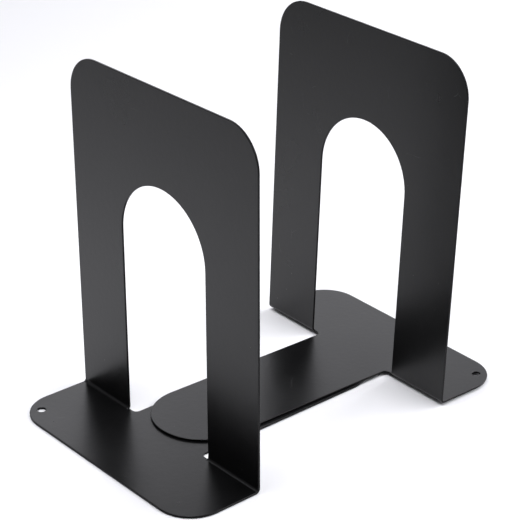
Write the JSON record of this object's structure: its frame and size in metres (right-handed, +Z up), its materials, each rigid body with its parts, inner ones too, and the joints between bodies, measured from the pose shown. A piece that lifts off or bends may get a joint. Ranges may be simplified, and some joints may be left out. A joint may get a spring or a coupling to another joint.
{
  "type": "book ends",
  "caption": "Bent sheet-steel book ends with an arched window, an outer flange and a long tongue that slides under the books.",
  "frame": {"origin": "on the ground plane, below the middle of the pair's bounding box as it stands at rest", "axes": "+X from the near book end to the far one, along the row of books; +Y along the width of the uprights; +Z up"},
  "size_m": [0.2372, 0.1496, 0.2013],
  "materials": {
    "black_powder_coat": "satin"
  },
  "bodies": {
    "near": {"near_book_end": "black_powder_coat"},
    "far": {"far_book_end": "black_powder_coat"}
  },
  "joints": [
    {"name": "spread_slide", "type": "slide", "parent": "near", "child": "far", "axis": [1, 0, 0], "range_m": [-0.134, 0.11]}
  ]
}
